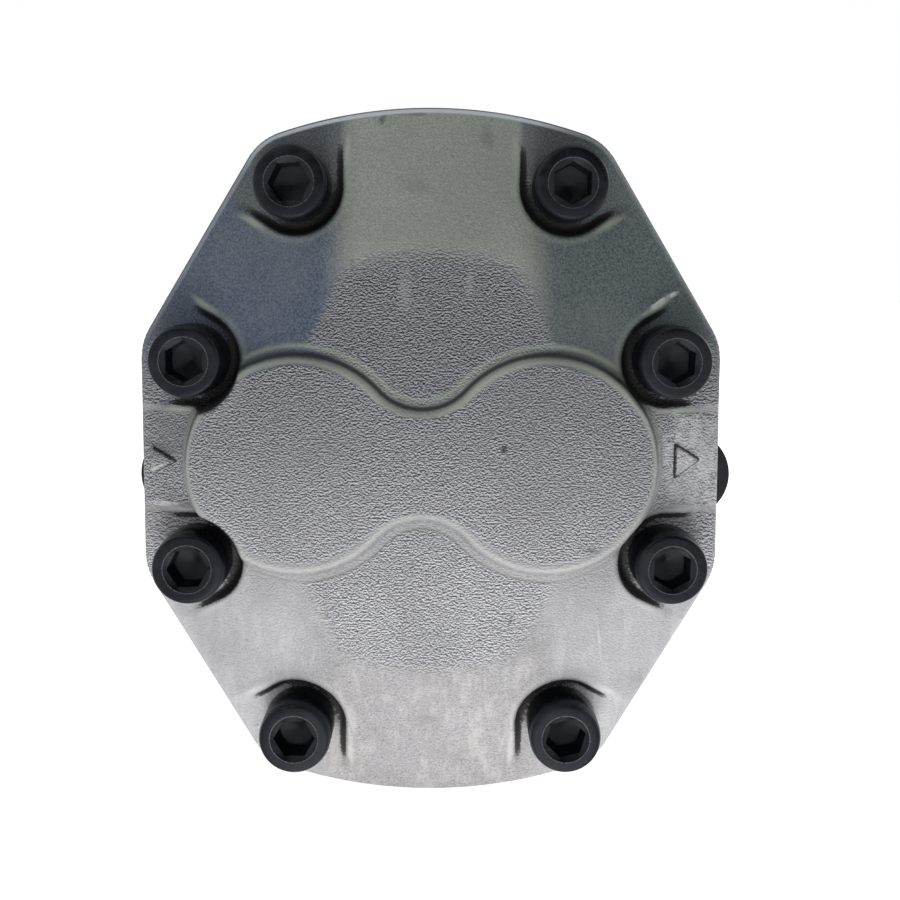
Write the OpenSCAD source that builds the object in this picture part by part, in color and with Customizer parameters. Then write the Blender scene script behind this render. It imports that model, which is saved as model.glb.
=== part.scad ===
// External gear pump with a cast rear cover, eight cover screws, a two-bolt flange
// and a splined drive shaft.
// Frame: the origin is on the drive shaft axis at the mounting face of the flange,
// +Y runs along the shaft away from the pump, +Z from the drive gear to the driven gear.
// Each sub-part is drawn as seen from behind: x right, y up, z toward the viewer,
// and from_behind() turns that drawing into the frame.

/* [Gears] */
// Module of the two pump gears, pitch diameter per tooth
gear_module = 4; // [3.9:0.05:4.05]
// Number of teeth on each gear
gear_teeth = 14; // [14:1:14]
// Pressure angle of the gear teeth in degrees
gear_pressure_angle = 25; // [24:0.5:26]
// Width of the gears along the shaft
gear_width = 40; // [30:1:50]
// Total backlash at the pitch circle
gear_backlash = 0.2; // [0.16:0.01:0.3]

/* [Shafts] */
// Diameter of the shaft journals and of the seal seat
journal_d = 32; // [31:0.5:33]
// How far the drive shaft stands out from the mounting face
shaft_reach = 56; // [50:1:62]
// Length of the splined end
spline_length = 38; // [30:1:40]
// Number of spline teeth
spline_teeth = 14; // [12:1:14]

/* [Housing] */
// Sideways place of the four end screws from the middle
end_screw_x = 30.6; // [30:0.1:31.5]
// Sideways place of the four side screws from the middle
side_screw_x = 53.9; // [53:0.1:55]
// Height of the four side screws from the middle
side_screw_y = 23.1; // [22.6:0.1:24]
// Metal from a screw axis out to the edge of the housing
edge_margin = 13; // [12.5:0.1:13.5]
// Metal from the gear chambers out to the ends of the housing
end_wall = 20.05; // [19.5:0.05:21]
// How far the bowed ends stand out past the end screws and their edge metal
end_bow = 5.1; // [4.5:0.1:5.5]
// Length of the centre body
body_length = 88; // [80:1:100]
// Thickness of the flange where the body meets it
flange_thick = 22; // [21:1:26]

/* [Cover] */
// Height of the screw pads above the joint face of the cover
pad_height = 20; // [18:0.5:24]
// Rise of the middle of the cover above the screw pads
dome_rise = 8; // [6:0.5:9]
// Rise of the boss above the screw pads
boss_rise = 10.4; // [9:0.1:12]
// Distance from the boss middle to each boss lobe
lobe_x = 27.7; // [26:0.1:29]
// Radius of the boss lobes under their rounded edge
lobe_r = 24.3; // [22:0.1:25]
// Draft of the boss walls, sideways for each millimetre of height
boss_draft = 0.4; // [0.2:0.05:0.5]
// Radius of the hollow blend between the two lobes
neck_blend = 13.4; // [12:0.1:15]
// Sideways shift of the cast boss
boss_shift = -1.9; // [-2.5:0.1:0]
// Radius of the flat pad round each screw
pad_r = 10.5; // [10:0.1:11]

/* [Flange] */
// Diameter of the centring spigot
pilot_d = 127; // [120:0.1:127]
// Height of the centring spigot
pilot_height = 12.7; // [12:0.1:14]
// Distance between the two mounting bolts
bolt_spacing = 181; // [178:0.5:184]
// Diameter of the mounting bolt holes
bolt_hole_d = 17.5; // [16:0.5:18]
// Radius of the rounded flange ears
ear_r = 16; // [15:0.5:17]
// Thickness of the flange ears
ear_thick = 18; // [16:0.5:20]

/* [Ports] */
// Core diameter of the threaded inlet port
inlet_d = 30.3; // [24:0.1:30.3]
// Core diameter of the threaded outlet port
outlet_d = 24.1; // [18:0.1:26]
// Depth of the threaded part of both ports
port_depth = 19; // [14:0.5:20]

/* [Screws] */
// Thread diameter of the cover screws
screw_d = 10; // [10:1:10]
// Length of the cover screws under the head
screw_length = 125; // [120:1:126]

/* [Seals] */
// Outside diameter of the shaft seals
seal_d = 52; // [50:1:54]
// Height of each shaft seal
seal_height = 8; // [7:0.5:8]

/* [Hidden] */
$fn = 96;

// Stations along the pump, measured back from the mounting face
body_z0 = flange_thick;
cover_z0 = body_z0 + body_length;
pad_z = cover_z0 + pad_height;
mid_z = (body_z0 + cover_z0) / 2;
gear_z0 = mid_z - gear_width / 2;
gear_z1 = mid_z + gear_width / 2;

// Gears, chambers and bearings
pitch_r = gear_module * gear_teeth / 2;
centre_distance = 2 * pitch_r;
middle_y = centre_distance / 2;
gear_tip_r = pitch_r + gear_module;
gear_root_r = pitch_r - 1.25 * gear_module;
journal_r = journal_d / 2;
bore_clearance = 0.05;
chamber_r = gear_tip_r + bore_clearance;
block_r = chamber_r - 0.03;
side_clearance = 0.05;
block_length = (body_length - gear_width) / 2 - 2 * side_clearance;
bush_clearance = 0.03;
bush_r = journal_r + 2;
bush_inset = 0.4;
spline_module = 25.4 / 12;
spline_tip_r = 15.6;
spline_root_r = 13.2;

// Outline of the housing: corner arcs on the screws, tangent flats and wide end arcs
end_height = middle_y + chamber_r + end_wall;
end_reach = edge_margin + end_bow;
end_screw_y = end_height - end_reach;
end_arc_r = (pow(end_screw_x, 2) + pow(end_reach, 2) - pow(edge_margin, 2))
    / (2 * (end_reach - edge_margin));
end_arc_y = end_height - end_arc_r;
end_angle = atan2(end_screw_y - end_arc_y, end_screw_x);
slope_angle = atan2(side_screw_x - end_screw_x, end_screw_y - side_screw_y);

// Cover screws
screw_pass_r = screw_d / 2 + 0.25;
thread_hole_r = screw_d / 2 + 0.05;
head_r = 0.813 * screw_d;
head_h = screw_d;
hex_af = 0.8 * screw_d;
screw_places = [
    for (sx = [-1, 1], sy = [-1, 1], p = [[end_screw_x, end_screw_y], [side_screw_x, side_screw_y]])
        [sx * p.x, sy * p.y]];
// Angle that each socket was left at when its screw was tightened
hex_turns = [0, 2, 3, 30, 15, 30, 30, 27];

// Grooves for the long seals and the pressure-field seals
body_seal_w = 2.6;
body_seal_r = chamber_r + 1.65 * body_seal_w;
groove_depth = 2.2;
block_groove_depth = 2.4;
backup_r0 = 27.3;
backup_r1 = 28.7;
block_seal_r1 = 30.6;

// Shaft seals, counted from the inner one outward
seal_r = seal_d / 2;
main_seal_z = 10;
spacer_h = 2;
dust_seal_z = main_seal_z - seal_height - spacer_h;
ring_z = dust_seal_z - seal_height;
ring_h = 2;
ring_w = 4;
ring_lug_r = 2.6;
ring_groove = 1.3;

dowel_r = 4;
dowel_length = 16;
dowel_places = [for (s = [-1, 1]) [0.872 * s * side_screw_x, -0.39 * s * side_screw_y]];

function polar(r, a) = r * [cos(a), sin(a)];
function arc(c, r, a0, a1, n) = [for (i = [0:n]) c + polar(r, a0 + (a1 - a0) * i / n)];
function lift(points, z) = [for (p = points) [p.x, p.y, z]];

// Upper right quarter of the housing outline, moved inward by inset
function quarter(inset) = concat(
    arc([side_screw_x, side_screw_y], edge_margin - inset, 0, slope_angle, 5),
    arc([end_screw_x, end_screw_y], edge_margin - inset, slope_angle, end_angle, 6),
    [for (i = [1:6]) [0, end_arc_y]
        + polar(end_arc_r - inset, end_angle + (90 - end_angle) * i / 6)]);

// Whole outline, counter-clockwise from the right side
function outline(inset) = let (q = quarter(inset), n = len(q)) concat(
    q,
    [for (i = [n - 2:-1:0]) [-q[i].x, q[i].y]],
    [for (i = [0:n - 1]) [-q[i].x, -q[i].y]],
    [for (i = [n - 2:-1:0]) [q[i].x, -q[i].y]]);

// Involute function of a pressure angle, in degrees
function involute(a) = tan(a) * 180 / PI - a;

// Half the angle that a tooth covers at radius r
function half_tooth(teeth, pitch, angle, thin, r) =
    90 / teeth - thin / pitch * 180 / PI + involute(angle)
    - involute(acos(min(1, pitch * cos(angle) / r)));

// One tooth and the root beside it, centred on angle 0
function tooth(teeth, pitch, angle, thin, tip, root, steps) = let (
    start = max(root + 0.02, pitch * cos(angle)),
    radii = [for (i = [0:steps]) start + (tip - start) * i / steps],
    half = [for (r = radii) half_tooth(teeth, pitch, angle, thin, r)])
    concat(
        [polar(root, -180 / teeth + 0.5 * (180 / teeth - half[0]))],
        [for (i = [0:steps]) polar(radii[i], -half[i])],
        [polar(tip, 0)],
        [for (i = [steps:-1:0]) polar(radii[i], half[i])],
        [polar(root, 180 / teeth - 0.5 * (180 / teeth - half[0]))]);

// Cross-section of a toothed wheel with a tooth pointing along first_angle
module toothed(teeth, pitch, angle, thin, tip, root, first_angle, steps) {
    profile = tooth(teeth, pitch, angle, thin, tip, root, steps);
    polygon([for (k = [0:teeth - 1], p = profile)
        let (a = first_angle + 360 * k / teeth)
            [p.x * cos(a) - p.y * sin(a), p.x * sin(a) + p.y * cos(a)]]);
}

module from_behind() {
    rotate([90, 0, 0]) children();
}

module at_middle() {
    translate([0, middle_y, 0]) children();
}

// Solid slice between two stations
module slice(z0, z1) {
    translate([0, 0, z0]) linear_extrude(z1 - z0) children();
}

module rod(r, z0, z1) {
    translate([0, 0, z0]) cylinder(h = z1 - z0, r = r);
}

// Both chamber circles at a given radius
module twin(r) {
    circle(r);
    translate([0, centre_distance]) circle(r);
}

// Racetrack round both chambers
module racetrack(r) {
    twin(r);
    translate([-r, 0]) square([2 * r, centre_distance]);
}

module each_screw() {
    at_middle() for (p = screw_places) translate(p) children();
}

module each_dowel(turned) {
    at_middle() for (p = dowel_places) translate([turned * p.x, p.y]) children();
}

// Closed solid through rings with equal point counts, from the lowest ring up
module stack(rings) {
    n = len(rings[0]);
    k = len(rings);
    polyhedron(
        points = [for (ring = rings) each ring],
        faces = concat(
            [[for (i = [0:n - 1]) i]],
            [for (r = [0:k - 2], i = [0:n - 1]) let (a = r * n + i, b = r * n + (i + 1) % n)
                each [[a, a + n, b], [b, a + n, b + n]]],
            [[for (i = [n - 1:-1:0]) (k - 1) * n + i]]));
}

// Cast shell of the cover: sheer side, rounded rim, sloping flanks, flat top
function shrunk(t) = [for (p = outline(2)) [p.x * (1 - 0.48 * t), p.y * (1 - 0.39 * t)]];

module cover_shell() {
    stack([
        lift(outline(0), cover_z0),
        lift(outline(0), pad_z - 2),
        lift(outline(0.6), pad_z - 0.6),
        lift(outline(2), pad_z),
        lift(shrunk(0.92), pad_z + 0.9 * dome_rise),
        lift(shrunk(1.06), pad_z + dome_rise)]);
}

// Surface of the side flanks at a distance x from the middle
rim_x = side_screw_x + edge_margin - 2;
function flank_z(x) = pad_z + dome_rise * (rim_x - abs(x)) / (0.49 * rim_x);

// Figure-eight outline of the boss, grown by g
function boss_outline(g) = let (
    blend_y = sqrt(pow(lobe_r + neck_blend, 2) - lobe_x * lobe_x),
    a = atan2(blend_y, lobe_x),
    r = lobe_r + g,
    b = neck_blend - g)
    concat(
        arc([lobe_x, 0], r, a - 180, 180 - a, 24),
        [for (i = [1:7]) [0, blend_y] + polar(b, -a + (2 * a - 180) * i / 8)],
        arc([-lobe_x, 0], r, a, 360 - a, 24),
        [for (i = [1:7]) [0, -blend_y] + polar(b, 180 - a + (2 * a - 180) * i / 8)]);

module cover_boss() {
    top = pad_z + boss_rise;
    translate([boss_shift, 0, 0]) stack([
        lift(boss_outline(boss_draft * (boss_rise - 1)), pad_z),
        lift(boss_outline(0), top - 1),
        lift(boss_outline(-0.9), top - 0.3),
        lift(boss_outline(-2), top)]);
}

// Open pocket round a screw: drafted walls, open between two directions
function pocket_ring(p, r, a0, a1, d0, d1) = concat(
    [p + polar(r, a0) + polar(30, d0)],
    arc(p, r, a0, a1, 14),
    [p + polar(r, a1) + polar(30, d1)],
    [p + polar(50, (d0 + d1) / 2)]);

module pocket(p, a0, a1, d0, d1) {
    draft = 0.17;
    rise = boss_rise + 4;
    stack([
        lift(pocket_ring(p, pad_r, a0, a1, d0, d1), pad_z),
        lift(pocket_ring(p, pad_r + draft * rise, a0, a1, d0, d1), pad_z + rise)]);
}

module cover_pockets() {
    for (sx = [0, 1], sy = [0, 1]) mirror([sx, 0, 0]) mirror([0, sy, 0]) {
        pocket([end_screw_x, end_screw_y], 180, 270 + slope_angle, 90, slope_angle);
        pocket([side_screw_x, side_screw_y], 90 + slope_angle, 270, slope_angle, 0);
    }
}

// Raised flow arrow on a flank, a triangle with its point at the right
module arrow(x, y, w, h) {
    corners = [[x, y - h / 2], [x + w, y], [x, y + h / 2]];
    stack([lift(corners, pad_z - 1), [for (p = corners) [p.x, p.y, flank_z(p.x) + 0.8]]]);
}

module rear_cover() {
    color("#9a9a9c") from_behind() difference() {
        union() {
            at_middle() difference() {
                union() {
                    cover_shell();
                    cover_boss();
                }
                cover_pockets();
            }
            at_middle() arrow(0.7 - rim_x, -0.4, 5.7, 5.9);
            at_middle() arrow(rim_x - 9, 0, 5.7, 7.3);
        }
        each_screw() rod(screw_pass_r, cover_z0 - 1, pad_z + 20);
        each_dowel(-1) rod(dowel_r, cover_z0 - 1, cover_z0 + dowel_length / 2 + 0.5);
        for (y = [0, centre_distance]) translate([0, y, 0]) rod(9, cover_z0 - 1, cover_z0 + 3);
    }
}

// Socket-head cap screw with its head above z = 0
module cap_screw(turn) {
    difference() {
        rotate_extrude() polygon([[0, -screw_length], [screw_d / 2 - 1, -screw_length],
            [screw_d / 2, 1 - screw_length], [screw_d / 2, 0], [head_r - 0.3, 0], [head_r, 0.3],
            [head_r, head_h - 1], [head_r - 0.4, head_h - 0.3], [head_r - 1.1, head_h],
            [0, head_h]]);
        translate([0, 0, head_h / 2]) rotate(turn) cylinder(h = head_h, r = hex_af / sqrt(3), $fn = 6);
        translate([0, 0, head_h - 0.5]) cylinder(h = 0.6, r1 = 4.3, r2 = 4.9);
    }
}

module cover_screws() {
    color("#232427") from_behind() at_middle()
        for (i = [0:len(screw_places) - 1])
            translate([screw_places[i].x, screw_places[i].y, pad_z]) cap_screw(hex_turns[i]);
}

// Housing outline with true arcs
module housing_outline() {
    top = outline(0);
    polygon(top);
}

// Plate that joins the two ears round the drive shaft
module ear_plate() {
    hub_r = pilot_d / 2 + 6.5;
    x = bolt_spacing / 2;
    a = acos((hub_r - ear_r) / x);
    polygon(concat(
        arc([x, 0], ear_r, -a, a, 24),
        arc([0, 0], hub_r, a, 180 - a, 30),
        arc([-x, 0], ear_r, 180 - a, 180 + a, 24),
        arc([0, 0], hub_r, 180 + a, 360 - a, 30)));
}

module front_flange() {
    color("#1d1e21") from_behind() difference() {
        union() {
            slice(0, ear_thick) ear_plate();
            at_middle() slice(0, body_z0) housing_outline();
            translate([0, 0, -pilot_height]) cylinder(h = 1, r1 = pilot_d / 2 - 1, r2 = pilot_d / 2);
            rod(pilot_d / 2, 1 - pilot_height, 1);
        }
        for (s = [-1, 1]) translate([s * bolt_spacing / 2, 0, 0])
            rod(bolt_hole_d / 2, -1, ear_thick + 1);
        each_screw() rod(thread_hole_r, pad_z - screw_length - 2, body_z0 + 1);
        each_dowel(1) rod(dowel_r, body_z0 - dowel_length / 2 - 0.5, body_z0 + 1);
        rod(journal_r + 1, 0, body_z0 + 1);
        rod(seal_r, -pilot_height - 1, main_seal_z);
        rod(seal_r + ring_groove, ring_z - ring_h - 0.1, ring_z);
        translate([0, centre_distance, 0]) rod(9, body_z0 - 4, body_z0 + 1);
    }
}

module port(side, core_d) {
    reach = side_screw_x + edge_margin;
    translate([0, middle_y, mid_z]) rotate([0, side * 90, 0]) {
        rod(core_d / 2, reach - port_depth, reach + 1);
        rod(0.41 * core_d, pitch_r / 2, reach - port_depth + 1);
        rod(core_d / 2 + 6, reach - 0.5, reach + 1);
    }
}

// Groove for a long seal, cut into a joint face
module seal_groove(z0, z1) {
    slice(z0, z1) difference() {
        racetrack(body_seal_r + body_seal_w / 2 + 0.3);
        racetrack(body_seal_r - body_seal_w / 2 - 0.3);
    }
}

module pump_body() {
    color("#a7a8aa") from_behind() difference() {
        at_middle() slice(body_z0, cover_z0) housing_outline();
        rod(chamber_r, body_z0 - 1, cover_z0 + 1);
        translate([0, centre_distance, 0]) rod(chamber_r, body_z0 - 1, cover_z0 + 1);
        port(-1, inlet_d);
        port(1, outlet_d);
        each_screw() rod(screw_pass_r, body_z0 - 1, cover_z0 + 1);
        each_dowel(1) rod(dowel_r, body_z0 - 1, body_z0 + dowel_length / 2 + 0.5);
        each_dowel(-1) rod(dowel_r, cover_z0 - dowel_length / 2 - 0.5, cover_z0 + 1);
        seal_groove(body_z0 - 1, body_z0 + groove_depth);
        seal_groove(cover_z0 - groove_depth, cover_z0 + 1);
    }
}

// Half section of a gear shaft: chamfered journals with relief grooves at the gear
function shaft_section(z_front, z_rear) = [
    [0, z_front], [journal_r - 1, z_front], [journal_r, z_front + 1],
    [journal_r, gear_z0 - 1.5], [journal_r - 0.4, gear_z0 - 1.2], [journal_r - 0.4, gear_z0],
    [gear_root_r - 2, gear_z0], [gear_root_r - 2, gear_z1], [journal_r - 0.4, gear_z1],
    [journal_r - 0.4, gear_z1 + 1.2], [journal_r, gear_z1 + 1.5],
    [journal_r, z_rear - 1], [journal_r - 1, z_rear], [0, z_rear]];

module pump_gear(first_angle) {
    slice(gear_z0, gear_z1) toothed(gear_teeth, pitch_r, gear_pressure_angle,
        gear_backlash / 4, gear_tip_r, gear_root_r, first_angle, 7);
}

// Splined end with its chamfer and the relief groove behind it
module spline_end() {
    z0 = -shaft_reach;
    z1 = z0 + spline_length;
    intersection() {
        slice(z0, z1) toothed(spline_teeth, spline_module * spline_teeth / 2, 30, 0.05,
            spline_tip_r, spline_root_r, 90, 4);
        union() {
            translate([0, 0, z0]) cylinder(h = 2, r1 = spline_tip_r - 2, r2 = spline_tip_r + 0.02);
            rod(spline_tip_r + 0.02, z0 + 2, z1);
        }
    }
}

module drive_gear_shaft() {
    shoulder = spline_length - shaft_reach + 3;
    color("#8d8f92") from_behind() difference() {
        union() {
            rotate_extrude() polygon(shaft_section(shoulder, cover_z0 - 0.3));
            rod(spline_root_r - 0.5, -shaft_reach + 1, shoulder + 1);
            spline_end();
            pump_gear(90);
        }
        translate([0, 0, -shaft_reach - 0.01]) cylinder(h = 5, r1 = 5, r2 = 0.5);
        translate([0, 0, cover_z0 - 4.3]) cylinder(h = 4.02, r1 = 0.5, r2 = 4);
    }
}

module driven_gear_shaft() {
    color("#8d8f92") from_behind() translate([0, centre_distance, 0]) difference() {
        union() {
            rotate_extrude() polygon(shaft_section(body_z0 + 0.3, cover_z0 - 0.3));
            pump_gear(-90 + 180 / gear_teeth);
        }
        rod(3.5, body_z0, cover_z0);
    }
}

// Seat ring shaped like a 3 between two radii, with its back toward the outlet
module three(r0, r1, end_angle, cusp_angle) {
    for (up = [0, 1]) translate([0, up * centre_distance]) mirror([0, up])
        intersection() {
            difference() {
                circle(r1);
                circle(r0);
            }
            polygon([[0, 0], polar(60, end_angle), polar(80, -90), polar(80, -40),
                [60, centre_distance / 2], [polar(60, cusp_angle).x, centre_distance / 2]]);
        }
}

// Floating bearing block; its sealed face looks along side, 1 to the cover, -1 to the flange
module bearing_block(side) {
    z0 = side > 0 ? gear_z1 + side_clearance : gear_z0 - side_clearance - block_length;
    z1 = z0 + block_length;
    outer = side > 0 ? z1 - block_groove_depth : z0 - 1;
    inner = side > 0 ? z0 - 1 : z1 - 1.5;
    color("#b9bbb8") from_behind() difference() {
        slice(z0, z1) twin(block_r);
        rod(bush_r, z0 - 1, z1 + 1);
        translate([0, centre_distance, 0]) rod(bush_r, z0 - 1, z1 + 1);
        slice(outer, outer + block_groove_depth + 1) three(backup_r0 - 0.1, block_seal_r1 + 0.1, -142, 87);
        for (s = [-1, 1]) translate([s * 14, middle_y, inner]) linear_extrude(2.5)
            square([s > 0 ? 12 : 16, 7], center = true);
    }
}

module front_bearing_block() {
    bearing_block(-1);
}

module rear_bearing_block() {
    bearing_block(1);
}

module bush(y, side) {
    z0 = (side > 0 ? gear_z1 + side_clearance : gear_z0 - side_clearance - block_length) + bush_inset;
    color("#9c7a45") from_behind() translate([0, y, 0]) difference() {
        rod(bush_r - 0.01, z0, z0 + block_length - 2 * bush_inset);
        rod(journal_r + bush_clearance, z0 - 1, z0 + block_length);
    }
}

module drive_front_bush() {
    bush(0, -1);
}

module drive_rear_bush() {
    bush(0, 1);
}

module driven_front_bush() {
    bush(centre_distance, -1);
}

module driven_rear_bush() {
    bush(centre_distance, 1);
}

// Station of the floor of a block groove; seals fill the groove up to the joint face
module in_block_groove(side) {
    floor_z = side > 0 ? cover_z0 - side_clearance - block_groove_depth : body_z0 + 0.02;
    from_behind() slice(floor_z + 0.02, floor_z + block_groove_depth) children();
}

module front_block_seal() {
    color("#1a1a1a") in_block_groove(-1) three(backup_r1 + 0.05, block_seal_r1, -141, 86.5);
}

module rear_block_seal() {
    color("#1a1a1a") in_block_groove(1) three(backup_r1 + 0.05, block_seal_r1, -141, 86.5);
}

module front_backup_ring() {
    color("#e6e2d3") in_block_groove(-1) three(backup_r0, backup_r1 - 0.05, -141, 86.5);
}

module rear_backup_ring() {
    color("#e6e2d3") in_block_groove(1) three(backup_r0, backup_r1 - 0.05, -141, 86.5);
}

// Long O-ring, flattened between the groove floor and the joint face
module body_seal(z0, z1) {
    h = z1 - z0;
    module section() {
        intersection() {
            circle(body_seal_w / 2 + 0.05, $fn = 24);
            translate([-2, -h / 2]) square([4, h]);
        }
    }
    color("#161616") from_behind() translate([0, 0, (z0 + z1) / 2]) {
        rotate([0, 0, 180]) rotate_extrude(angle = 180) translate([body_seal_r, 0]) section();
        translate([0, centre_distance, 0]) rotate_extrude(angle = 180)
            translate([body_seal_r, 0]) section();
        for (s = [-1, 1]) translate([s * body_seal_r, centre_distance, 0])
            rotate([90, 0, 0]) linear_extrude(centre_distance) section();
    }
}

module front_body_seal() {
    body_seal(body_z0 + 0.01, body_z0 + groove_depth - 0.01);
}

module rear_body_seal() {
    body_seal(cover_z0 - groove_depth + 0.01, cover_z0 - 0.01);
}

// Lip seal: metal-backed outer wall, front web and an inner lip that meets the shaft
module lip_seal(z0, spring_seat) {
    h = seal_height;
    lip = journal_r + 0.05;
    translate([0, 0, z0]) rotate_extrude() difference() {
        polygon([[seal_r - 0.01, 0.4], [seal_r - 0.01, h - 0.02], [seal_r - 2.6, h - 0.02],
            [seal_r - 2.6, 2.2], [journal_r + 3.6, 2.2], [journal_r + 2.4, 4.4],
            [journal_r + 3.1, h - 1.2], [journal_r + 1.6, h - 0.8], [lip, h - 2.4],
            [journal_r + 1.2, 3.4], [journal_r + 1.4, 0], [seal_r - 0.5, 0]]);
        if (spring_seat) translate([journal_r + 3.2, 5.6]) circle(0.95, $fn = 24);
    }
}

module shaft_seal() {
    color("#3a2a22") from_behind() lip_seal(main_seal_z - seal_height, true);
}

module seal_spring() {
    color("#b5b5b5") from_behind() translate([0, 0, main_seal_z - seal_height + 5.6])
        rotate_extrude() translate([journal_r + 3.2, 0]) circle(0.9, $fn = 24);
}

module seal_spacer() {
    color("#9b9da0") from_behind() difference() {
        rod(seal_r - 0.05, dust_seal_z + 0.01, dust_seal_z + spacer_h - 0.01);
        rod(journal_r + 2, dust_seal_z - 1, dust_seal_z + spacer_h + 1);
    }
}

module dust_seal() {
    color("#26221f") from_behind() lip_seal(dust_seal_z - seal_height, false);
}

// Snap ring with two plier lugs, sprung into the groove in front of the seals
module seal_retaining_ring() {
    outer = seal_r + ring_groove - 0.05;
    lug_y = -outer + ring_w + 0.6 * ring_lug_r;
    function lug_place(s) = [s * 2.6 * ring_lug_r, lug_y];
    color("#2b2c2e") from_behind() slice(ring_z - ring_h, ring_z - 0.02) difference() {
        union() {
            difference() {
                circle(outer);
                circle(outer - ring_w);
                polygon([[0, 0], [-0.3 * outer, -1.5 * outer], [0.3 * outer, -1.5 * outer]]);
            }
            for (s = [-1, 1]) translate(lug_place(s)) circle(ring_lug_r);
        }
        for (s = [-1, 1]) translate(lug_place(s)) circle(ring_lug_r / 2);
    }
}

module dowels(z, turned) {
    h = dowel_length / 2;
    color("#7d7f82") from_behind() each_dowel(turned) translate([0, 0, z]) rotate_extrude()
        polygon([[0, -h], [dowel_r - 1, -h], [dowel_r - 0.01, 1 - h], [dowel_r - 0.01, h - 1],
            [dowel_r - 1, h], [0, h]]);
}

module front_dowels() {
    dowels(body_z0, 1);
}

module rear_dowels() {
    dowels(cover_z0, -1);
}

rear_cover();
cover_screws();
front_flange();
pump_body();
drive_gear_shaft();
driven_gear_shaft();
front_bearing_block();
rear_bearing_block();
drive_front_bush();
drive_rear_bush();
driven_front_bush();
driven_rear_bush();
front_block_seal();
rear_block_seal();
front_backup_ring();
rear_backup_ring();
front_body_seal();
rear_body_seal();
shaft_seal();
seal_spring();
seal_spacer();
dust_seal();
seal_retaining_ring();
front_dowels();
rear_dowels();
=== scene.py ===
import math

import bmesh
import bpy
import numpy as np
from mathutils import Matrix, Vector, geometry, noise


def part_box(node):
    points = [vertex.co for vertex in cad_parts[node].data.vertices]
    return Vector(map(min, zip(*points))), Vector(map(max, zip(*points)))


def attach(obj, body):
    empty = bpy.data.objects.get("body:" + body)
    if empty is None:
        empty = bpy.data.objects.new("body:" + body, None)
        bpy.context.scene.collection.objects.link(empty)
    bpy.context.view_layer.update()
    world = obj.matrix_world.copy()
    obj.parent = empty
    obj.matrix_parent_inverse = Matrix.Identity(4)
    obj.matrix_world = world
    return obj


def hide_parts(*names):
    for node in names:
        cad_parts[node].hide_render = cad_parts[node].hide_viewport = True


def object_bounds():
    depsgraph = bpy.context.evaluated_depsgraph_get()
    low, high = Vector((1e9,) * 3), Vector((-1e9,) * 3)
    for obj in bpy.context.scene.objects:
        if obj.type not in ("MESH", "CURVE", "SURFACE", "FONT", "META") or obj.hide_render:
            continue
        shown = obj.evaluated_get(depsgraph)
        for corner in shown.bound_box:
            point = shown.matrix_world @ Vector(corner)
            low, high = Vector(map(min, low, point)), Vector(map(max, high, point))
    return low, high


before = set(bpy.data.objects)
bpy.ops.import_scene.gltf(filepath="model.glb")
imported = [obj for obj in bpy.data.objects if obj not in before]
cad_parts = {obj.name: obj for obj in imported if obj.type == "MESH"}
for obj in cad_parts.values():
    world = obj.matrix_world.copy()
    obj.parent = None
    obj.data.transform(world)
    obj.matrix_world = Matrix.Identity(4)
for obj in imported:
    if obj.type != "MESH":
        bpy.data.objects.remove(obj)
cad_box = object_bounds()
MM = 0.001

# Rear cover.
# A gravity die casting in aluminium: a low dome with smooth flanks, a sand-rough top, a
# figure-eight boss, a raised flow arrow on each side and an open pocket at each screw.

joint_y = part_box("pump_body")[0].y
middle_z = (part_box("pump_body")[0].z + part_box("pump_body")[1].z) / 2

# Millimetres: x across, y up from the cover's middle, rise out from the screw seats.
pad_rise = 20.0
dome_rise, boss_rise, arrow_rise = 8.0, 10.4, 1.1
side_screw, end_screw = (53.9, 23.1), (30.6, 62.0)
edge_margin, end_height = 13.0, 80.1
rim_round = 2.0
top_inset_x, top_inset_y, top_edge_blend = 0.48, 0.39, 0.12
pad_radius, wall_draft, foot_round, lip_round = 10.5, 0.17, 1.7, 1.3
boss_shift, lobe_x, lobe_radius, neck_blend = -1.9, 27.7, 24.3, 13.4
boss_draft, boss_roll, boss_curl, boss_foot_blend = 0.4, 2.2, 0.11, 1.4
rim_x = side_screw[0] + edge_margin - rim_round
arrow_corner = 0.8
arrows = ((0.7 - rim_x, -0.4, 5.7, 5.9), (rim_x - 9, 0, 5.7, 7.3))


def cover_place(x, y, rise):
    """A point of the cover, from millimetres across, up and above the screw pads."""
    return Vector((x * MM, joint_y - (pad_rise + rise) * MM, middle_z + y * MM))


def arc_points(centre, radius, start, end, count):
    angles = np.radians(np.linspace(start, end, count))
    return np.stack([centre[0] + radius * np.cos(angles), centre[1] + radius * np.sin(angles)], 1)


end_reach = end_height - end_screw[1]
end_radius = (end_screw[0] ** 2 + end_reach ** 2 - edge_margin ** 2) / (2 * (end_reach - edge_margin))
end_centre = end_height - end_radius
end_angle = math.degrees(math.atan2(end_screw[1] - end_centre, end_screw[0]))
slope_angle = math.degrees(math.atan2(side_screw[0] - end_screw[0], end_screw[1] - side_screw[1]))


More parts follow.
